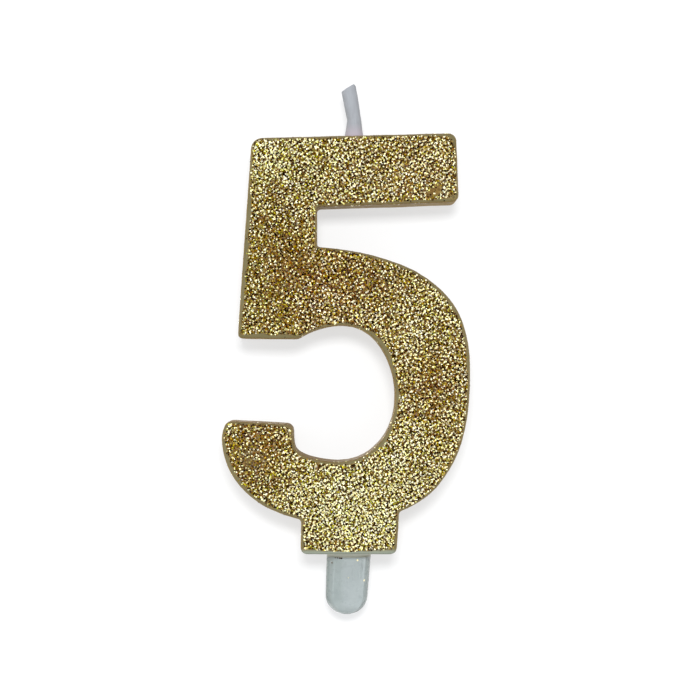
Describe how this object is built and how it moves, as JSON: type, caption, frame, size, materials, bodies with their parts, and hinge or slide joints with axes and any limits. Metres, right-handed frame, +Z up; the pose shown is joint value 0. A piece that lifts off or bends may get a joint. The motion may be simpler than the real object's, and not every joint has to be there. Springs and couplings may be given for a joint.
{
  "type": "number birthday candle",
  "caption": "Birthday candle in the shape of the number 5, with a gold glitter face, a primed wick and a translucent plastic pick that pushes into a cake.",
  "frame": {"origin": "middle of the plinth's underside, where the candle meets the top of the cake", "axes": "+Z up the number, +X to the reader's right, the glitter face looks towards -Y"},
  "size_m": [0.0416, 0.011, 0.0896],
  "materials": {
    "olive_wax": "satin",
    "gold_glitter_wax": "satin",
    "wick_wax": "satin",
    "wick_cotton": "matte",
    "milky_plastic": "satin"
  },
  "bodies": {
    "root": {"number_body": "olive_wax", "glitter_face": "gold_glitter_wax", "wick_coat": "wick_wax", "wick_yarn_a": "wick_cotton", "wick_yarn_b": "wick_cotton", "wick_yarn_c": "wick_cotton", "pick": "milky_plastic"}
  },
  "joints": []
}
